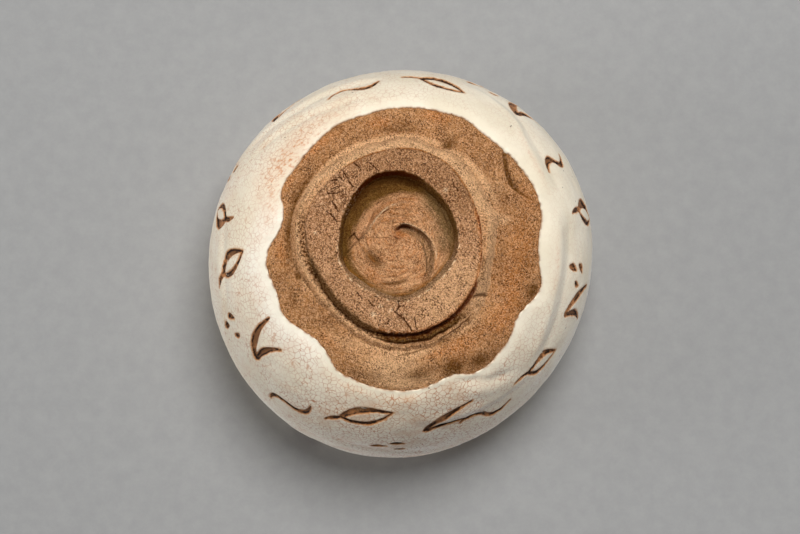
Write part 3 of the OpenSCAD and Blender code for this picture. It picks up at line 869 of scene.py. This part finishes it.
# The streaks of one turn run over into those of the next one, so that no seam shows
run_over = ease((pad_angle - 290) / 70)
streaks = (1 - run_over) * spun_streaks(pad_angle) + run_over * spun_streaks(pad_angle - 360)
from_left = half_turns(round_pad)
scratch = bell((pad_radius - 11.8 - 0.16 * (from_left - 2)) / 0.28) * window(round_pad, -7, 9, 5)
scratch += bell((pad_radius - 13.0 + 0.2 * (from_left - 4)) / 0.25) * window(round_pad, -2, 10, 4)
burr = bell((pad_radius - arm - 0.2) / 0.3) * window(round_pad, 12, 112, 16) * ease(0.6 + 1.5 * streaks)
crest = bell((pad_radius - arm + 0.3) / 0.8) * window(round_pad, 0, 125, 25)
crevice = bell((pad_radius - arm + 0.4) / 0.22) * window(round_pad, 57, 80, 6)
turned = 0.12 * lumps(pad_rows, 3.0, 3, 4.0) + 0.1 * lumps(pad_rows, 0.8, 2, 14.0) + 0.5 * streaks
dome = swirl_h * bank * (1 - 0.16 * ease(inside / 3.0))
raised = dome - smooth_curve(groove_depth, round_pad) * groove + sharp_lip + turned
raised = raised - 0.9 * thumb - 0.6 * scratch + 0.25 * burr + 0.45 * crest - 0.5 * crevice
pad_rows[..., 2] = pad_z - raised - 1.4 * fillet * (1 - 0.5 * bank)
pad_back = round_points(well_at, pad_edge * np.array([[1.0], [0.5]]), round_pad, seat_z + well_sink)
spiral_pad = loft(
    "spiral_pad_turned",
    np.vstack([pad_rows, pad_back]),
    (well_at[0], well_at[1], pad_rows[0, :, 2].mean()),
    (well_at[0], well_at[1], seat_z + well_sink),
)
pad_clay = fired_clay("pad_clay", srgb(204, 151, 105), srgb(180, 128, 84), 0.78, 0.8)
spiral_pad.data.materials.append(pad_clay)
# Olive painted shade towards the wall: where it starts, as (degrees, radius), and how strong it is, as
# (degrees, share)
olive_from = (
    (0, 13.0), (20, 12.2), (40, 11.8), (60, 12.3), (80, 12.8), (100, 13.8), (120, 14.4),
    (140, 13.4), (160, 13.6), (180, 14.8), (200, 15.6), (240, 15.2), (270, 15.5), (290, 15.0),
    (310, 14.6), (330, 14.4), (345, 13.6),
)
olive_most = (
    (0, 1.0), (110, 0.95), (135, 0.8), (200, 0.8), (240, 0.74), (285, 0.74), (310, 0.9), (340, 1.0),
)
trough = ease((pad_radius - closed_curve(olive_from, round_pad) + 2.0 + 0.8 * streaks) / 4.2)
shaded = groove_fade * ease(inside / 0.6) * ease((run_in + 0.3 - inside) / (0.7 * inner_slope))
shaded = shaded * window(pad_angle, 112, 246, 24)
# Olive painted shade in the trough and the fillet along the wall.
by_wall = closed_curve(olive_most, round_pad) * np.maximum(trough, 0.8 * fillet)
mark(spiral_pad, "olive_shade", capped(by_wall))
# Dark: the painted shadow that the back wall casts on the floor, painted shade under the hook's overhang
# and the lip's undercut, and painted shade in the scratch and the crevice.
back_wall_shadow = ease((3.4 - from_wall) / 3.0) * window(pad_angle, 20, 130, 26)
hook_shadow = by_groove(0.3, 0.45, 92, 150, 16)
lip_undercut_shade = by_groove(0.15, 0.22, 156, 194, 10)
shade_lines = 0.9 * hook_shadow + 0.7 * lip_undercut_shade + 0.8 * scratch + 0.8 * crevice
mark(spiral_pad, "crack_and_shade", capped(shade_lines + 0.5 * back_wall_shadow))
# Grey painted shade on the groove's floor, on the slope at the right and at the groove's inner edge.
inner_edge_shade = by_groove(run_in - 0.3, 0.4, 188, 236, 14)
right_slope_shade = bell((pad_radius - 14.4) / 3.0) * window(pad_angle, 108, 212, 28)
pad_grey_shade = capped(0.55 * shaded + 0.75 * right_slope_shade + 0.4 * inner_edge_shade)
mark(spiral_pad, "grey", pad_grey_shade * (1 + 0.4 * streaks))
# Painted shade deep in the trough at the back and under the groove's lip, and darker in the thumb hollow
# and a smear.
deep = 0.28 * ease((trough - 0.6) / 0.4) * window(pad_angle, -20, 130, 36)
lip_shade = by_groove(0.3, 0.3, 70, 200, 24)
smear_r = 12.8 + 0.04 * (pad_angle - 255)
smear_arc = bell((pad_radius - smear_r) / 0.6) * window(pad_angle, 250, 294, 12)
mark(spiral_pad, "smoke", capped(0.9 * thumb + 0.35 * lip_shade + deep + 0.8 * smear_arc))
warm_streaks = ease(0.2 + 1.6 * streaks) * bank
warm_channel = bell(np.hypot((pad_x + 1.6) / 2.2, (pad_y - 1.2) / 1.3))
warm_bank = bell((pad_radius - arm - 1.2) / 1.0) * window(pad_angle, 20, 130, 20)
mark(spiral_pad, "ochre", capped(0.5 * warm_streaks + warm_channel + 0.45 * warm_bank))
# Paler along the sharp lip, a painted highlight, and in some streaks on the bank.
mark(spiral_pad, "pale", capped(0.7 * sharp_lip + 0.5 * ease(-0.1 - 1.6 * streaks) * bank))
# Pale along the arm's burr and the groove's lip: painted highlights.
lip_highlight = by_groove(-0.25, 0.26, 100, 216, 14)
mark(spiral_pad, "pale_grit_and_highlight", capped(burr + 0.7 * lip_highlight * ease(0.6 + 1.2 * streaks)))
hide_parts("spiral_pad")
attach(spiral_pad, "root")

# Outer glaze: a thick creamy coat, dipped by hand, that stops at a wavy edge rolled over by melting.
# It is crazed all over. Leaves, blades, seeds and ripples are cut in it and rubbed with iron pigment.
round_glaze = turn_in_steps(660)
ragged = round_points(bowl_axis, 40, round_glaze, 0.0)
nicks = capped(lumps(ragged, 0.9, 2, 23.0) - 0.45)
glaze_start = edge_distance(round_glaze) + 0.16 * lumps(ragged, 1.3, 3, 21.0) + 0.35 * nicks
roll_steps = np.array([0, 0.02, 0.06, 0.12, 0.2, 0.3, 0.45, 0.8, 1.4, 2.2])
along = np.linspace(0, 1, 119)[1:, None]
roll_distance = glaze_start + roll_steps[:, None]
wall_distance = roll_distance[-1] + (section_end - roll_distance[-1]) * along
glaze_distance = np.vstack([roll_distance, wall_distance])
glaze_angle = np.broadcast_to(round_glaze, glaze_distance.shape)
glaze_base, glaze_normal = clay_skin(glaze_distance, glaze_angle)
from_edge = glaze_distance - glaze_start
rolled = np.sqrt(1 - (1 - capped(from_edge / 0.4)) ** 2)
bead = lumps(ragged, 9.0, 2, 31.0) * bell((from_edge - 2) / 2.0)
swelling = 0.5 + 0.5 * ease(from_edge / 3.5) + 0.2 * bead
melt = 0.2 * lumps(glaze_base, 9.0, 3, 17.0) + 0.05 * lumps(glaze_base, 2.6, 2, 19.0)
thickness = glaze_t * rolled * swelling + melt * ease(from_edge / 3)

# Cut motifs as strokes: start, bend and end in millimetres, then half widths at these three
leaf = (
    ((0, 0), (4.4, 5.2), (12, 0.8), (0.6, 1.25, 0.2)),
    ((0, 0), (5.6, -4.2), (12, 0.8), (0.4, 0.7, 0.2)),
    ((-4.4, -1.8), (-2.2, -0.2), (0, 0), (0.2, 0.6, 0.5)),
)
blades = (
    ((0, 0), (2.0, 5.8), (10.5, 8.6), (0.7, 1.2, 0.2)),
    ((0.6, -0.4), (5.2, 2.4), (10.6, 0.4), (0.5, 0.9, 0.2)),
)
seeds = (
    ((0, 0), (1.2, 0.6), (3.0, 0.3), (0.5, 0.95, 0.3)),
    ((4.4, 2.2), (5.6, 2.6), (7.2, 1.6), (0.4, 0.85, 0.3)),
    ((5.0, -2.4), (5.8, -2.8), (7.0, -2.4), (0.4, 0.7, 0.3)),
)
ripple = (
    ((-6.4, 0.2), (-2.6, 4.4), (0.6, 0), (0.2, 0.75, 0.6)),
    ((0.6, 0), (3.8, -3.8), (7.6, 0.8), (0.6, 0.9, 0.2)),
)
# Where they are cut: motif, degrees, distance along the section, turn, size
cuts = (
    (leaf, 10, 27, 70, 1.0), (seeds, 28, 35, 100, 1.0), (blades, 47, 33, 20, 0.95),
    (ripple, 73, 20, 8, 1.0), (leaf, 97, 24, -20, 1.0), (seeds, 112, 35, 30, 1.1),
    (blades, 130, 30, 60, 1.0), (ripple, 150, 27, -75, 0.9), (leaf, 167, 30, 80, 1.05),
    (seeds, 186, 25, 75, 1.0), (blades, 201, 30, 95, 1.1), (leaf, 224, 29, 140, 1.05),
    (ripple, 243, 35, 165, 1.1), (blades, 262, 30, 170, 1.1), (seeds, 278, 40, 185, 1.1),
    (leaf, 289, 25, 200, 1.1), (ripple, 306, 34, 225, 1.1), (blades, 323, 27, 250, 1.05),
    (seeds, 337, 37, 260, 1.1), (leaf, 352, 28, 285, 1.0), (blades, 24, 66, 60, 1.1),
    (leaf, 60, 68, 20, 1.2), (seeds, 84, 62, 0, 1.2), (ripple, 104, 70, 10, 1.2),
    (blades, 142, 68, 80, 1.1), (leaf, 182, 67, 40, 1.2), (ripple, 214, 70, -10, 1.2),
    (seeds, 236, 62, 20, 1.2), (leaf, 262, 67, 150, 1.2), (blades, 300, 70, 60, 1.1),
    (ripple, 332, 68, 15, 1.2),
)
cut_scale = 1.15
no_cut = 3.0
stroke_u = np.linspace(0, 1, 13)
u = stroke_u[:, None]
# Distance from each point of the glaze to the edge of the nearest cut, less than 0 within it
cut = np.full(glaze_distance.shape, no_cut)
for motif, cut_angle, cut_distance, cut_turn, cut_size in cuts:
    turn = half_turns(glaze_angle - cut_angle)
    near = (np.abs(turn) < 25) & (np.abs(glaze_distance - cut_distance) < 16)
    dot_arc = np.radians(turn[near]) * on_section(glaze_distance[near], section_r)
    dot = np.stack([dot_arc, glaze_distance[near] - cut_distance], -1)
    best = np.full(len(dot), no_cut)
    for *ends, halves in motif:
        first, bend, last = np.array(ends)
        line = (1 - u) ** 2 * first + 2 * u * (1 - u) * bend + u**2 * last
        turned_x = line[:, 0] * cosine(cut_turn) - line[:, 1] * sine(cut_turn)
        turned_y = line[:, 0] * sine(cut_turn) + line[:, 1] * cosine(cut_turn)
        line = cut_scale * cut_size * np.stack([turned_x, turned_y], -1)
        half = cut_scale * np.interp(stroke_u, (0, 0.45, 1), halves)
        for start, end, start_half, end_half in zip(line[:-1], line[1:], half[:-1], half[1:]):
            run = end - start
            share = capped((dot - start) @ run / (run @ run))
            gap = np.linalg.norm(dot - start - share[:, None] * run, axis=-1)
            best = np.minimum(best, gap - start_half - (end_half - start_half) * share)
    cut[near] = np.minimum(cut[near], best)
carved = 0.75 * ease((0.15 - cut) / 0.7) - 0.12 * bell((cut - 0.45) / 0.3)
glaze_top = glaze_base + glaze_normal * (thickness - carved * ease(from_edge / 2))[..., None]
glaze_lip = lip(np.linspace(0, 90, 9)[1:, None], round_glaze, glaze_t)
back_start = glaze_start + 0.4
clay_side = back_start + (section_end - back_start) * np.linspace(1, 0, 10)[:, None]
glaze_back, _ = clay_skin(clay_side, np.broadcast_to(round_glaze, clay_side.shape))
lip_back = lip(np.array([[90.0], [45.0]]), round_glaze, 0)
outer_glaze = loft("outer_glaze_dipped", np.vstack([glaze_top, glaze_lip, lip_back, glaze_back]))
mark(outer_glaze, "cut", cut, no_cut)
stain = bell((glaze_angle - 38) / 28) * bell((from_edge - 4) / 5.0)
for ledge, from_angle, to_angle in ((wall_ledges[0][0], 130, 162), (wall_ledges[1][0], 172, 204)):
    past_ledge = glaze_distance - smooth_curve(ledge, glaze_angle)
    on_ledge = bell((past_ledge + 0.6) / 1.1) * window(glaze_angle, from_angle, to_angle, 12)
    stain = np.maximum(stain, 0.4 * on_ledge)
mark(outer_glaze, "stain", stain)
mark(outer_glaze, "thin", bell(from_edge / 0.3) * ease(0.55 + 0.9 * lumps(ragged, 1.6, 3, 29.0)))
# A whiter patch near the edge on one side, painted as a highlight.
mark(outer_glaze, "white", window(glaze_angle, 296, 384, 16) * bell((from_edge - 4) / 5.0))
craze_round = (
    (0, 0.8), (40, 0.9), (80, 0.6), (130, 0.3), (190, 0.35), (225, 0.9), (265, 2.2), (290, 1.8),
    (310, 1.1), (335, 0.9),
)
plain_craze = 0.4
craze_bare = 4.0 - 2.4 * window(glaze_angle, 228, 304, 20)
craze_zone = closed_curve(craze_round, glaze_angle) * ease((from_edge - 0.5) / craze_bare)
mark(outer_glaze, "craze", craze_zone, plain_craze)


def crazed_glaze(name, with_cuts):
    """Creamy glaze with a fine net of pink-tan cracks, iron stains, a whiter patch painted as a highlight
    and, outside, iron-filled cuts.
    """
    material, shader, place = finish(name, 0.42, 0.22)
    cloud = place.grain(0.07, 3, 0.55).rise(0.35, 0.65)
    colour = cloud.mix(srgb(244, 232, 208), srgb(235, 222, 196))
    # The whiter patch is a painted highlight.
    colour = (place.field("white") * 0.5).mix(colour, srgb(252, 246, 234))
    warped = place.shifted(0.6, 0.9)
    net = warped.cells(0.68, "DISTANCE_TO_EDGE")
    line = net.rise(0.07, 0.015)
    strength = place.field("craze") if with_cuts else plain_craze
    patchy = place.grain(0.1, 3, 0.6).rise(0.3, 0.62) * 0.7 + 0.3
    colour = (line * patchy * strength * 0.8).mix(colour, srgb(192, 134, 98))
    blush = place.grain(0.16, 3, 0.6).rise(0.46, 0.66)
    colour = ((0.3 + 0.7 * blush) * strength * 0.3).mix(colour, srgb(220, 182, 148))
    speck = place.cells(0.28, "F1").rise(0.1, 0.05) * place.grain(0.2, 1).rise(0.55, 0.61)
    colour = (speck * 0.85).mix(colour, srgb(92, 56, 32))
    roughness = 0.36 + 0.12 * cloud
    if with_cuts:
        blot = place.drawn(2.4, 55).grain(1.2, 5, 0.8).rise(0.5, 0.62)
        colour = (place.field("stain") * (0.22 + 0.75 * blot)).mix(colour, srgb(206, 134, 84))
        colour = (place.field("thin") * 0.8).mix(colour, srgb(150, 98, 56))
        depth = place.field("cut") + 0.5 * (place.grain(0.8, 3, 0.65) - 0.5)
        iron = place.grain(0.3, 3, 0.6)
        tint = depth.rise(1.1, 0.3) * iron.rise(0.4, 0.65)
        colour = (tint * 0.5).mix(colour, srgb(214, 168, 116))
        halo = depth.rise(0.5, 0.0)
        colour = (halo * 0.9).mix(colour, srgb(182, 112, 50))
        bottom = depth.rise(-0.3, -0.6)
        core = depth.rise(0.1, -0.15) * (1 - 0.4 * bottom)
        colour = (core * iron.rise(0.28, 0.5)).mix(colour, srgb(42, 22, 7))
        roughness = roughness + 0.3 * halo
    feed(shader, "Base Color", colour)
    feed(shader, "Roughness", roughness)
    wavy = place.grain(0.45, 2) - 0.12 * line
    feed(shader, "Normal", place.bump(wavy, 0.25, 0.2 * MM))
    return material


outer_glaze.data.materials.append(crazed_glaze("outer_glaze_finish", True))
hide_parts("outer_glaze")
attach(outer_glaze, "root")

# Inner glaze: the same creamy coat poured round the inside, from the crest of the lip to the floor.
# It pools a little on the floor and is crazed like the outside.
round_inner = turn_in_steps(420)
inner_lip = lip(np.linspace(90, 180, 9)[:, None], round_inner, glaze_t)
up_wall = np.linspace(1, 0, 26)[1:, None]
to_floor = np.linspace(0, 88, 46)[1:, None]
inner_clay = np.vstack([inside_wall(up_wall, round_inner), inside_floor(to_floor, round_inner)])
to_middle = np.vstack([
    round_points(bowl_axis, -np.ones(up_wall.shape), round_inner, 0.0),
    round_points(bowl_axis, -cosine(to_floor), round_inner, sine(to_floor)),
])
inner_relief = glaze_t + 0.25 * lumps(inner_clay, 10.0, 3, 41.0)
inner_top = inner_clay + to_middle * inner_relief[..., None]
inner_back = np.vstack([
    inside_floor(np.linspace(80, 0, 8)[:, None], round_inner),
    inside_wall(np.array([[0.33], [0.67]]), round_inner),
    lip(np.array([[180.0], [135.0], [90.0]]), round_inner, 0),
])
inner_glaze = loft(
    "inner_glaze_poured",
    np.vstack([inner_back, inner_lip, inner_top]),
    (0, 0, floor_z),
    (0, 0, inner_top[-1, :, 2].mean()),
)
inner_glaze.data.materials.append(crazed_glaze("inner_glaze_finish", False))
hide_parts("inner_glaze")
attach(inner_glaze, "root")

# Stage: a pale floor under the foot for views from above, and for the photograph's view, in which the
# bowl lies on its lip, a grey sheet just inside the mouth, so that the shadow stays close to the bowl.
# Each shows only from the bowl's side and lights nothing.


def sheet(name, half, height, facing, colour, speckle):
    """A square of paper that faces up (1) or down (-1), with a faint grey speckle."""
    corners = [(-half, -half, height), (half, -half, height), (half, half, height), (-half, half, height)]
    mesh = bpy.data.meshes.new(name)
    mesh.from_pydata(corners, [], [(0, 1, 2, 3) if facing > 0 else (3, 2, 1, 0)])
    piece = added(name, mesh)
    material, shader, place = finish(name + "_paper", 0.9, 0.1)
    mottle = place.grain(0.22, 5, 0.75).rise(0.2, 0.8)
    feed(shader, "Base Color", (mottle * speckle).mix(colour, srgb(122, 122, 124)))
    tree = material.node_tree
    behind = place.make("ShaderNodeNewGeometry", {}, {}, "Backfacing")
    clear = place.make("ShaderNodeBsdfTransparent")
    seen = Shade(tree, shader.outputs[0])
    both = place.make("ShaderNodeMixShader", {}, {0: behind, 1: seen, 2: clear})
    tree.links.new(both.socket, tree.nodes["Material Output"].inputs["Surface"])
    mesh.materials.append(material)
    piece.visible_diffuse = False
    piece.visible_glossy = False
    piece.visible_transmission = False
    piece.visible_shadow = False


lip_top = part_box("outer_glaze")[1].z
inside_mouth = 9 * MM
sheet("pale_floor", 4.0, 0.0, 1, srgb(212, 211, 208), 0.05)
sheet("grey_sheet", 0.35, lip_top - inside_mouth, -1, srgb(163, 162, 160), 0.25)

# Lamps: for the photograph's view a soft key below and a fill low at each side, of which the left one is
# the stronger, and for views from above a key over the mouth and a lamp at one side of it.
middle = Vector((0, 0, lip_top / 2))


def lamp(name, direction, away, size, light_level):
    """A round soft lamp that lights a white face turned to it at this level, where 1 is white."""
    light = bpy.data.lights.new(name, "AREA")
    light.shape = "DISK"
    light.size = size
    light.energy = light_level * np.pi**2 * away**2
    piece = added(name, light)
    towards = Vector(direction).normalized()
    piece.location = middle + towards * away
    piece.rotation_euler = towards.to_track_quat("Z", "Y").to_euler()
    piece.visible_camera = False
    return piece


lamp("lower_key", (-0.13, 0.29, -0.95), 1.0, 0.5, 0.98)
lamp("side_fill", (0.95, -0.1, -0.3), 1.4, 0.75, 0.35).data.color = (0.95, 0.98, 1.0)
lamp("far_fill", (-0.95, 0.1, -0.3), 1.4, 0.75, 0.06)
lamp("upper_key", (-0.08, -0.16, 0.98), 1.4, 0.9, 0.5).visible_glossy = False
lamp("upper_side", (0.68, 0.3, 0.67), 1.4, 0.9, 0.25).visible_glossy = False

# Room: a faint cool light from all round that is stronger from above and softens the shadows.
# The camera sees a pale even backdrop in its place.
cool_white = (0.93, 0.99, 1.08, 1.0)
backdrop_level = 0.8
world = bpy.data.worlds.new("studio")
bpy.context.scene.world = world
world.use_nodes = True
background = world.node_tree.nodes["Background"]
background.inputs["Color"].default_value = cool_white
room = Shade(world.node_tree, background.inputs["Color"])
towards_room = room.make("ShaderNodeTexCoord", {}, {}, "Generated")
height = room.make("ShaderNodeSeparateXYZ", {}, {0: towards_room}, "Z")
level = 0.12 + 0.38 * height.rise(-0.3, 0.4)
by_camera = room.make("ShaderNodeLightPath", {}, {}, "Is Camera Ray")
feed(background, "Strength", level + by_camera * (backdrop_level - level))

# Camera: below the bowl and a little towards its front, looking up at the foot, as the photograph does.
# Its long lens keeps the foot, which is nearest, from looking too large.
look_at = Vector((0, 0, 61)) * MM
tilt = 7.6
reach = 0.706
camera = bpy.data.cameras.new("camera")
camera.lens = 100
camera.sensor_width = 36
camera.clip_end = 50
camera_object = added("camera", camera)
sight = Vector((0, sine(tilt), cosine(tilt)))
camera_object.location = look_at - reach * sight
camera_object.rotation_euler = np.radians((tilt, 180, 0))
bpy.context.scene.camera = camera_object
bpy.context.scene.view_settings.view_transform = "Standard"
